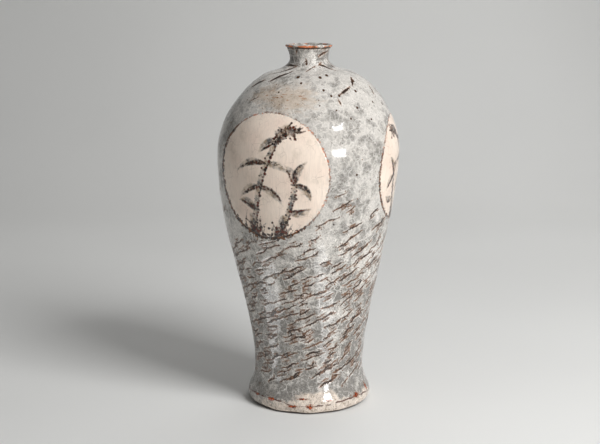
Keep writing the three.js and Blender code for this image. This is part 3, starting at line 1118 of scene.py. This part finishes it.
PALE_GLAZE = srgb(205, 200, 193)
GREY_GLAZE = srgb(143, 139, 133)
CELL_GREY = srgb(130, 127, 123)
VEIN_WHITE = srgb(240, 236, 230)
PATCH_WHITE = srgb(226, 221, 215)
BEIGE = srgb(200, 178, 155)
SMEAR = srgb(158, 106, 66)
HALO = srgb(154, 134, 110)
FLECK = srgb(84, 70, 58)
IRON_DARK = srgb(38, 20, 7)
IRON_BROWN = srgb(108, 64, 26)
CREAM = srgb(241, 227, 213)
FLASH_ORANGE = srgb(192, 80, 30)
FLASH_DARK = srgb(78, 28, 9)
# Bare clay, darkened as painted shade on the bevel under the foot
BARE_CLAY_AND_SHADE = srgb(96, 76, 62)
SLIP_PALE = srgb(250, 233, 217)
SLIP_PINK = srgb(241, 219, 203)
SLIP_STAIN = srgb(219, 202, 184)
WASH_GREY = srgb(84, 87, 88)
INK_BLACK = srgb(28, 23, 21)
INK_BROWN = srgb(76, 42, 26)
BEAD_RUST = srgb(98, 38, 22)
LINE_ORANGE = srgb(222, 122, 70)

GLAZE_IOR = 1.52


class Shading:
    """A material's node tree, with short calls for the nodes used here.

    The finish is built up from the ground: each lay puts a colour over those before it.
    """

    def __init__(self, name):
        self.material = bpy.data.materials.new(name)
        self.material.use_nodes = True
        self.tree = self.material.node_tree
        self.tree.nodes.clear()
        self.place = self.scale(self.node("TexCoord").outputs["Object"], 1 / MM)
        self.color = None

    def node(self, kind, inputs=None, **settings):
        made = self.tree.nodes.new("ShaderNode" + kind)
        for key, value in settings.items():
            setattr(made, key, value)
        for key, value in (inputs or {}).items():
            self.plug(value, made.inputs[key])
        return made

    def plug(self, value, socket):
        if isinstance(value, bpy.types.NodeSocket):
            self.tree.links.new(value, socket)
        else:
            socket.default_value = value

    def scale(self, vector, factor):
        return self.node("VectorMath", {0: vector, "Scale": factor}, operation="SCALE").outputs[0]

    def vector(self, operation, *values):
        return self.node("VectorMath", dict(enumerate(values)), operation=operation)

    def math(self, operation, *values):
        return self.node("Math", dict(enumerate(values)), operation=operation).outputs[0]

    def add(self, first, *rest):
        for value in rest:
            first = self.math("ADD", first, value)
        return first

    def less(self, first, second):
        return self.math("SUBTRACT", first, second)

    def times(self, first, *rest):
        for value in rest:
            first = self.math("MULTIPLY", first, value)
        return first

    def ramp(self, value, low, high, start=0.0, end=1.0):
        """Eases from start at low to end at high. Low may be the greater."""
        if low > high:
            low, high, start, end = high, low, end, start
        limits = {"Value": value, "From Min": low, "From Max": high, "To Min": start, "To Max": end}
        return self.node("MapRange", limits, interpolation_type="SMOOTHSTEP").outputs[0]

    def mix(self, share, first, second):
        return self.node("Mix", {0: share, 6: first, 7: second}, data_type="RGBA").outputs[2]

    def lay(self, over, *shares):
        """Lays a colour over the finish so far, by the product of some shares."""
        self.color = self.mix(self.times(*shares), self.color, over)

    def shade(self, color, factor):
        """A colour made lighter or darker by a factor."""
        return self.scale(color if isinstance(color, bpy.types.NodeSocket) else color[:3], factor)

    def shifted(self, offset, stretch=(1, 1, 1)):
        inputs = {"Vector": self.place, "Location": offset, "Scale": stretch}
        return self.node("Mapping", inputs).outputs[0]

    def noise(self, size, seed, detail=2.0, rough=0.5, stretch=(1, 1, 1)):
        return self.node("TexNoise", {
            "Vector": self.shifted((seed * 37.0, seed * 11.0, seed * 5.0), stretch),
            "Scale": 1 / size, "Detail": detail, "Roughness": rough,
        }).outputs[0]

    def spots(self, size, seed, low, high, start=0.0, end=1.0, detail=2.0, rough=0.5, stretch=(1, 1, 1)):
        """Noise that eases from start at low to end at high."""
        return self.ramp(self.noise(size, seed, detail, rough, stretch), low, high, start, end)

    def drift(self, size, seed, amount, detail=2.0, rough=0.5):
        """Noise on both sides of 0."""
        return self.times(self.add(self.noise(size, seed, detail, rough), -0.5), amount)

    def warped(self, size, amount, seed):
        """Places moved about by noise."""
        start = self.shifted((seed * 23.0, 3.0, 9.0))
        wander = self.node("TexNoise", {"Vector": start, "Scale": 1 / size, "Detail": 1.0}).outputs[1]
        centred = self.vector("SUBTRACT", wander, (0.5, 0.5, 0.5)).outputs[0]
        return self.vector("ADD", self.place, self.scale(centred, amount * 2)).outputs[0]

    def cells(self, vector, size, feature="F1"):
        return self.node("TexVoronoi", {"Vector": vector, "Scale": 1 / size}, feature=feature)

    def cell_edge(self, vector, size):
        """Distance from the edge between two cells, as a share of their size."""
        return self.cells(vector, size, "DISTANCE_TO_EDGE").outputs["Distance"]

    def tint(self, cells, channel):
        """A random value for each cell."""
        return self.node("SeparateColor", {0: cells.outputs["Color"]}).outputs[channel]

    def grains(self, cells, tint, least_tint, smallest, largest, outside, inside):
        """A round grain in each cell, larger where its tint is. outside and inside are its edge."""
        size = self.ramp(tint, least_tint, 1.0, smallest, largest)
        return self.ramp(self.less(cells.outputs["Distance"], size), outside, inside)

    def dots(self, centres):
        """Distance outside the nearest of some balls, each given by its centre and half width."""
        field = FAR
        for centre, half in centres:
            away = self.vector("DISTANCE", self.place, centre).outputs["Value"]
            field = self.math("MINIMUM", field, self.less(away, half))
        return field

    def vector_value(self, name):
        attribute = self.node("Attribute", attribute_name=name)
        return self.node("SeparateXYZ", {0: attribute.outputs["Vector"]}).outputs[:3]

    def finish(self, roughness, height, specular=0.5):
        """The surface. height is in millimetres."""
        relief = self.node("Bump", {"Distance": MM, "Height": height}).outputs[0]
        surface = self.node("BsdfPrincipled", {
            "Base Color": self.color, "Roughness": roughness, "Normal": relief, "IOR": GLAZE_IOR,
            "Specular IOR Level": specular,
        })
        self.node("OutputMaterial", {"Surface": surface.outputs[0]})
        return self.material


def root_dot_centres():
    """Two balls for each dot of iron, so that the dot runs a little down the dome."""
    centres = []
    for degrees, height, half in ROOT_DOTS:
        angle, arc = math.radians(degrees), arc_at(height)
        run = RUN_ON_DOME * half * facing_at(arc)[1]
        for place in (arc - run / 2, arc + run / 2):
            centres.append((tuple(on_wall(angle, place, unevenness(angle, place)).tolist()), half))
    return centres


def rim_line(s):
    """The broken iron line painted round an inlay, with beads beside it. Returns its strength."""
    gap, strength, _ = s.vector_value("rim")
    distance = s.math("ABSOLUTE", s.add(gap, s.drift(5.0, 4, 2.4), 0.1))
    reach = s.times(s.spots(2.6, 3, 0.36, 0.64, 0.55, 3.4, rough=0.7), strength)
    line = s.ramp(s.less(distance, reach), 0.25, -0.25)
    bead_size = s.spots(1.8, 6, 0.45, 0.6, -0.2, 1.0, detail=1.0)
    beads = s.ramp(s.less(distance, bead_size), 0.2, -0.2)
    bead_color = s.mix(s.spots(9.0, 7, 0.4, 0.6), IRON_BROWN, LINE_ORANGE)
    s.lay(bead_color, beads, s.ramp(strength, 0.2, 0.7, 0.6, 0.85))
    rust_share = s.add(s.noise(4.0, 5), s.times(strength, -0.12))
    iron = s.mix(s.ramp(rust_share, 0.33, 0.5), IRON_DARK, IRON_BROWN)
    s.lay(iron, line, s.ramp(strength, 0.2, 0.6, 0.28, 0.96))
    return line


def glaze_crackle(s, cloud_and_shade, crackle_share):
    """Broad cloudy tones with the painted shade low on the belly and on the neck, then cells of grey
    between soft white veins. Returns the broad tones and the veins.
    """
    broad = s.add(s.noise(17.0, 1, 5.0, 0.6), s.times(cloud_and_shade, 0.06), s.times(crackle_share, 0.07))
    s.color = s.mix(s.ramp(broad, 0.43, 0.6), GREY_GLAZE, PALE_GLAZE)
    bent = s.warped(5.0, 2.4, 2)
    edge = s.cell_edge(bent, 4.7)
    inner = s.ramp(s.tint(s.cells(bent, 4.7), 0), 0.15, 0.85)
    s.lay(CELL_GREY, inner, s.ramp(edge, 0.04, 0.3), crackle_share, 0.5)
    fine_edge = s.cell_edge(s.warped(2.6, 1.0, 6), 2.6)
    veins = s.math("MAXIMUM", s.ramp(edge, 0.11, 0.015), s.times(s.ramp(fine_edge, 0.12, 0.02), 0.5))
    vein_share = s.spots(7.0, 7, 0.36, 0.62, 0.3, 1.0)
    s.lay(VEIN_WHITE, veins, vein_share, s.ramp(crackle_share, 0.3, 0.95, 0.56, 0.44))
    return broad, veins


def glaze_mottle(s, broad, crackle_share):
    """White and grey patches, hair cracks and a fine mottle, which is returned."""
    lift = s.times(s.add(broad, -0.5), s.ramp(crackle_share, 0.95, 0.4, 0.2, 0.55))
    white = s.ramp(s.add(s.noise(11.0, 8, 6.0, 0.66), lift), 0.5, 0.62)
    s.lay(PATCH_WHITE, white, s.ramp(crackle_share, 0.3, 0.9, 0.76, 0.3))
    dull = s.ramp(s.less(s.noise(7.0, 9, 6.0, 0.7), lift), 0.51, 0.63)
    s.lay(CELL_GREY, dull, s.ramp(crackle_share, 0.3, 0.95, 0.6, 0.32))
    hair = s.ramp(s.cell_edge(s.warped(12.0, 1.5, 37), 12.0), 0.045, 0.01)
    s.lay(VEIN_WHITE, hair, s.spots(16.0, 38, 0.46, 0.6), s.ramp(crackle_share, 0.9, 0.5, 0.15, 0.6))
    mottle = s.noise(1.3, 10, 4.0, 0.75)
    grain = s.times(s.ramp(mottle, 0.3, 0.7, -1.0, 1.0), s.ramp(crackle_share, 0.3, 0.95, 0.3, 0.11))
    s.color = s.shade(s.color, s.add(grain, 0.97))
    return mottle


def glaze_stains(s, crackle_share, beige_share):
    """Beige patches with rusty streaks in them, and small brown flecks."""
    smears = s.noise(7.0, 11, 4.0, 0.65, stretch=(1, 1, 2.2))
    s.lay(BEIGE, s.ramp(s.add(s.times(beige_share, 0.5), smears), 0.6, 0.98), 0.55)
    streaks = s.spots(3.4, 26, 0.57, 0.66, detail=3.0, rough=0.6, stretch=(0.5, 0.5, 2.4))
    s.lay(SMEAR, streaks, s.ramp(beige_share, 0.45, 1.0), 0.8)
    fleck_zone = s.ramp(s.add(s.noise(6.0, 25, 3.0), s.times(crackle_share, -0.1)), 0.36, 0.5)
    s.lay(FLECK, s.spots(0.9, 24, 0.57, 0.66, rough=0.6), fleck_zone, 0.75)


def glaze_fissures(s):
    """A dirty halo with grit of iron in it, then the ragged line itself with its spurs.

    Returns the line, the raggedness of its edge and the colour of the iron.
    """
    side, near, half = s.vector_value("marks")
    smudge = s.spots(4.0, 12, 0.42, 0.6, detail=4.0, rough=0.7)
    s.lay(HALO, s.ramp(near, 2.6, 0.5), smudge, 0.34)
    pale_edge = s.times(s.ramp(near, 2.4, 1.4), s.ramp(near, 0.6, 1.2), s.spots(3.0, 35, 0.4, 0.6))
    s.lay(VEIN_WHITE, pale_edge, 0.5)
    ragged = s.drift(1.0, 13, 1.5, rough=0.65)
    spurs = s.spots(1.4, 30, 0.55, 0.72, 0.0, -1.2, rough=0.6, stretch=(1, 1, 0.35))
    inward = s.less(s.add(s.math("ABSOLUTE", side), ragged, spurs), half)
    line = s.times(s.ramp(inward, 0.14, -0.14), s.ramp(near, 2.1, 1.4))
    fringe = s.times(s.ramp(inward, 0.95, 0.0), s.spots(5.0, 40, 0.38, 0.6, detail=3.0))
    s.lay(SMEAR, fringe, s.ramp(near, 2.6, 1.6), 0.5)
    cells = s.cells(s.warped(3.0, 0.8, 9), 1.7)
    grit = s.grains(cells, s.tint(cells, 2), 0.45, 0.0, 0.38, 0.03, -0.06)
    grit = s.times(grit, s.ramp(near, 5.0, 2.2), s.spots(8.0, 31, 0.42, 0.54, detail=3.0))
    brown_share = s.add(s.noise(4.0, 14), s.times(half, -0.18), s.ramp(inward, -0.45, 0.1, -0.1, 0.12))
    iron = s.mix(s.ramp(brown_share, 0.33, 0.55), IRON_DARK, IRON_BROWN)
    s.lay(iron, s.math("MAXIMUM", s.times(line, 0.97), s.times(grit, 0.85)))
    return line, ragged, iron


def glaze_specks(s, ragged, iron):
    """Small specks of iron all over, and the single dots on the dome."""
    cells = s.cells(s.place, 6.5)
    tint = s.tint(cells, 1)
    s.lay(iron, s.grains(cells, tint, 0.5, 0.02, 0.13, 0.02, -0.03), s.ramp(tint, 0.5, 0.55), 0.9)
    dots = s.ramp(s.add(s.dots(root_dot_centres()), s.times(ragged, 0.5)), 0.12, -0.12)
    s.lay(s.mix(0.3, IRON_DARK, IRON_BROWN), dots, 0.96)


def glaze_cream(s, cream_depth, below_scorch):
    """Mottled cream glaze that pools over the foot and hangs below the scorched edge."""
    pooled = s.ramp(s.add(cream_depth, s.drift(9.0, 15, 22.0, 6.0, 0.75)), -2.5, 2.5)
    low_glaze = s.times(
        s.ramp(below_scorch, -0.4, 0.6), s.spots(6.0, 32, 0.38, 0.56, detail=4.0, rough=0.7),
        s.ramp(cream_depth, -9.0, -2.0, 0.25, 1.0))
    cream = s.shade(CREAM, s.spots(4.5, 16, 0.32, 0.62, 0.72, 1.07, 5.0, 0.75))
    cream = s.mix(s.spots(3.0, 33, 0.52, 0.63, 0.0, 0.75, 5.0, 0.78), cream, HALO)
    cream = s.mix(s.spots(1.1, 36, 0.6, 0.68, 0.0, 0.7, 2.0, 0.7), cream, FLASH_DARK)
    s.lay(cream, s.math("MAXIMUM", pooled, low_glaze), 0.92)


def glaze_burns(s, flash, wall_arc, below_scorch):
    """A scorched edge with orange flashes along it, and the orange line on the lip."""
    from_scorch = s.math("ABSOLUTE", s.add(below_scorch, s.drift(5.0, 21, 2.6, 3.0)))
    thick = s.spots(8.0, 28, 0.32, 0.56, -0.35, 0.7, 4.0, 0.65)
    singed = s.mix(s.spots(2.4, 29, 0.3, 0.5), IRON_DARK, FLASH_DARK)
    s.lay(singed, s.ramp(s.less(from_scorch, thick), 0.35, -0.25), 0.85)
    flame = s.add(flash, s.drift(2.2, 18, 2.8, 5.0, 0.76))
    s.lay(SMEAR, s.ramp(flame, -0.1, 0.6), s.ramp(flash, 0.03, 0.3), 0.5)
    fire = s.mix(s.spots(1.5, 39, 0.36, 0.56), FLASH_ORANGE, FLASH_DARK)
    lip_orange = s.mix(s.spots(4.0, 34, 0.36, 0.5), IRON_BROWN, LINE_ORANGE)
    fire = s.mix(s.ramp(wall_arc, 100.0, 200.0), fire, lip_orange)
    s.lay(fire, s.ramp(flame, 0.4, 0.6), s.ramp(flash, 0.05, 0.22), 0.95)


def bare_clay_and_shade(s, wall_arc):
    """Unglazed clay where the vase stands, its colour darkened as painted shade on the bevel under the
    foot. Returns its share.
    """
    clay = s.shade(BARE_CLAY_AND_SHADE, s.spots(1.2, 19, 0.3, 0.7, 0.8, 1.15, 3.0, 0.7))
    bare_share = s.ramp(s.add(wall_arc, s.drift(5.0, 20, 1.6, 3.0)), 4.4, 3.8)
    s.lay(clay, bare_share)
    return bare_share


def crackle_glaze(name):
    """Pale grey glaze with a white crackle, brown fissures, specks, and cream over the foot."""
    s = Shading(name)
    cream_depth, flash, wall_arc = s.vector_value("zones")
    cloud_and_shade, crackle_share, beige_share = s.vector_value("tones")
    _, _, below_scorch = s.vector_value("rim")
    broad, veins = glaze_crackle(s, cloud_and_shade, crackle_share)
    mottle = glaze_mottle(s, broad, crackle_share)
    glaze_stains(s, crackle_share, beige_share)
    line, ragged, iron = glaze_fissures(s)
    glaze_specks(s, ragged, iron)
    glaze_cream(s, cream_depth, below_scorch)
    glaze_burns(s, flash, wall_arc, below_scorch)
    bare_share = bare_clay_and_shade(s, wall_arc)
    rim_line(s)
    roughness = s.add(
        0.055, s.times(line, 0.3), s.times(bare_share, 0.6), s.times(s.ramp(mottle, 0.3, 0.7), 0.03))
    relief = s.add(
        s.times(line, -0.08), s.times(veins, -0.006), s.times(s.noise(6.0, 22, 1.0), 0.03),
        s.times(bare_share, mottle, 0.12))
    return s.finish(roughness, relief)


def slip_ground(s):
    """Warm white clay with turning streaks, crazing and rusty flecks. Returns the first two."""
    s.color = s.mix(s.spots(26.0, 2, 0.35, 0.8), SLIP_PALE, SLIP_PINK)
    s.lay(SLIP_STAIN, s.spots(11.0, 16, 0.5, 0.72, 0.0, 0.5, 4.0, 0.6))
    streak = s.noise(1.3, 1, 2.0, 0.6, stretch=(1, 1, 0.09))
    s.color = s.shade(s.color, s.ramp(streak, 0.25, 0.75, 0.93, 1.03))
    gap, _, _ = s.vector_value("rim")
    s.lay(PALE_GLAZE, s.ramp(gap, -5.0, 0.3), s.spots(5.0, 17, 0.42, 0.62, detail=4.0, rough=0.65), 0.5)
    craze = s.ramp(s.cell_edge(s.warped(6.0, 1.0, 6), 6.5), 0.035, 0.01)
    craze = s.times(craze, s.spots(10.0, 7, 0.45, 0.6))
    s.lay(IRON_BROWN, craze, 0.22)
    cells = s.cells(s.place, 12.0)
    s.lay(BEAD_RUST, s.grains(cells, s.tint(cells, 1), 0.4, 0.0, 0.045, 0.01, -0.012), 0.75)
    return streak, craze


def slip_painting(s):
    """A thin wash in blots, then ragged brush strokes and beads of iron. Returns the last two."""
    ink, wash, bead = s.vector_value("paint")
    washed = s.ramp(s.add(wash, s.drift(2.2, 8, 3.4, 4.0, 0.7)), 0.75, -1.1)
    tint = s.mix(s.spots(6.0, 10, 0.4, 0.6), WASH_GREY, HALO)
    s.lay(tint, washed, s.spots(4.5, 9, 0.38, 0.62, 0.3, 0.95, 4.0, 0.65))
    rough_edge = s.drift(1.3, 11, 2.0, 3.0, 0.75)
    drawn = s.ramp(s.add(ink, rough_edge), 0.45, -0.5)
    pigment = s.mix(s.spots(3.0, 12, 0.42, 0.62), INK_BLACK, INK_BROWN)
    s.lay(pigment, drawn, s.spots(3.2, 13, 0.4, 0.58, 0.3, 0.96, 4.0, 0.65))
    beaded = s.ramp(s.add(bead, s.times(rough_edge, 0.3)), 0.15, -0.15)
    s.lay(s.mix(s.spots(3.5, 14, 0.45, 0.6), INK_BLACK, BEAD_RUST), beaded, 0.93)
    return drawn, beaded


def white_slip(name):
    """Warm white clay under clear glaze, painted in iron and a thin grey wash."""
    s = Shading(name)
    streak, craze = slip_ground(s)
    drawn, beaded = slip_painting(s)
    line = rim_line(s)
    roughness = s.add(0.1, s.times(s.ramp(streak, 0.3, 0.7), 0.05), s.times(drawn, 0.12))
    relief = s.add(
        s.times(streak, 0.01), s.times(beaded, 0.08), s.times(s.noise(7.0, 15, 1.0), 0.03),
        s.times(line, -0.05), s.times(craze, -0.02))
    return s.finish(roughness, relief)


def plain_paper(name, color):
    s = Shading(name)
    s.color = s.shade(color, s.spots(300.0, 1, 0.2, 0.8, 0.985, 1.015, detail=1.0))
    return s.finish(roughness=0.9, height=0.0, specular=0.0)


# The object

def dress(piece, node, material):
    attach(piece, "root")
    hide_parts(node)
    piece.data.materials.append(material)


grey_glaze = crackle_glaze("grey_glaze")
foot_glaze = crackle_glaze("foot_glaze")
slip = white_slip("white_slip")

dress(make_foot(), "foot_ring", foot_glaze)
dress(make_belly(), "belly_section", grey_glaze)
dress(make_shoulder(), "shoulder_section", grey_glaze)
dress(make_neck(), "neck_collar", grey_glaze)
for number, (inlay, flip) in enumerate(zip(INLAYS, (1, -1, 1)), start=1):
    dress(make_inlay(number, inlay, flip), f"roundel_inlay_{number}", slip)


# Studio

FLOOR_SIZE = 3.0
BACKDROP_DISTANCE = 1.3
BACKDROP_HEIGHT = 2.2
BACKDROP_BEND = 0.45
PAPER = srgb(226, 226, 224)


def make_backdrop():
    """A sheet of pale paper: the floor, which bends up behind the vase."""
    turn = np.linspace(0, math.pi / 2, 13)
    bend_y = BACKDROP_DISTANCE - BACKDROP_BEND + BACKDROP_BEND * np.sin(turn)
    bend_z = BACKDROP_BEND - BACKDROP_BEND * np.cos(turn)
    bend = zip(bend_y.tolist(), bend_z.tolist())
    profile = [(-FLOOR_SIZE, 0.0), *bend, (BACKDROP_DISTANCE, BACKDROP_HEIGHT)]
    points = [(x, y, z) for y, z in profile for x in (-FLOOR_SIZE, FLOOR_SIZE)]
    faces = [(2 * i, 2 * i + 1, 2 * i + 3, 2 * i + 2) for i in range(len(profile) - 1)]
    mesh = bpy.data.meshes.new("backdrop")
    mesh.from_pydata(points, [], faces)
    mesh.polygons.foreach_set("use_smooth", [True] * len(faces))
    mesh.materials.append(plain_paper("paper", PAPER))
    backdrop = bpy.data.objects.new("backdrop", mesh)
    bpy.context.collection.objects.link(backdrop)


# What the soft boxes face, and how high the gleams lie above the floor
LAMP_AIM = Vector((0, 0, 0.2))
GLEAM_LIFT = 0.004


def add_lamp(name, place, away, size, watts, glossy=True, diffuse=True):
    """A soft box at a place. It shines against the direction away, and the camera doesn't see it."""
    data = bpy.data.lights.new(name, "AREA")
    data.shape = "RECTANGLE"
    data.size, data.size_y = size
    data.energy = watts
    lamp = bpy.data.objects.new(name, data)
    lamp.location = place
    lamp.rotation_euler = away.to_track_quat("Z", "Y").to_euler()
    lamp.visible_camera = False
    lamp.visible_glossy = glossy
    lamp.visible_diffuse = diffuse
    bpy.context.collection.objects.link(lamp)


def towards(azimuth, elevation):
    """A direction whose azimuth runs from the front towards +X, in degrees."""
    a, e = math.radians(azimuth), math.radians(elevation)
    return Vector((math.sin(a) * math.cos(e), -math.cos(a) * math.cos(e), math.sin(e)))


def soft_box(name, azimuth, elevation, distance, size, watts, **shown):
    """A lamp that faces the middle of the vase."""
    away = towards(azimuth, elevation)
    add_lamp(name, LAMP_AIM + away * distance, away, size, watts, **shown)


def floor_gleam(name, azimuth, distance, size, watts):
    """A lamp flat on the floor that shines up and shows only in the glaze."""
    place = towards(azimuth, 0) * distance + Vector((0, 0, GLEAM_LIFT))
    add_lamp(name, place, Vector((0, 0, -1)), size, watts, diffuse=False)


def light_world(strength):
    world = bpy.data.worlds.new("studio")
    world.use_nodes = True
    background = world.node_tree.nodes["Background"]
    background.inputs["Color"].default_value = (1, 1, 1, 1)
    background.inputs["Strength"].default_value = strength
    bpy.context.scene.world = world


make_backdrop()
light_world(strength=0.16)
soft_box("key", 44, 36, distance=1.4, size=(0.6, 0.6), watts=20.2, glossy=False)
soft_box("back", 160, 36, distance=1.3, size=(0.7, 0.7), watts=3.4, glossy=False)
soft_box("upper_window", 43.1, 37.4, distance=1.5, size=(0.36, 0.13), watts=3.5, diffuse=False)
soft_box("lower_window", 36.3, 7.8, distance=1.5, size=(0.42, 0.21), watts=5.2, diffuse=False)
floor_gleam("right_gleam", 23.5, distance=0.2, size=(0.07, 0.16), watts=0.14)
floor_gleam("left_gleam", -62, distance=0.2, size=(0.12, 0.1), watts=0.13)


# Camera

CAMERA_DISTANCE = 1.111
CAMERA_HEIGHT = 0.382
CAMERA_TILT = 11.23
FOCAL_PIXELS = 1269
FRAME_WIDTH = 600
SENSOR_WIDTH = 36.0
VASE_OFF_CENTRE = 9

camera_data = bpy.data.cameras.new("camera")
camera_data.sensor_width = SENSOR_WIDTH
camera_data.lens = FOCAL_PIXELS / FRAME_WIDTH * SENSOR_WIDTH
camera_data.shift_x = -VASE_OFF_CENTRE / FRAME_WIDTH
camera = bpy.data.objects.new("camera", camera_data)
camera.location = (0, -CAMERA_DISTANCE, CAMERA_HEIGHT)
camera.rotation_euler = (math.radians(90 - CAMERA_TILT), 0, 0)
bpy.context.collection.objects.link(camera)
bpy.context.scene.camera = camera
bpy.context.scene.view_settings.view_transform = "Standard"
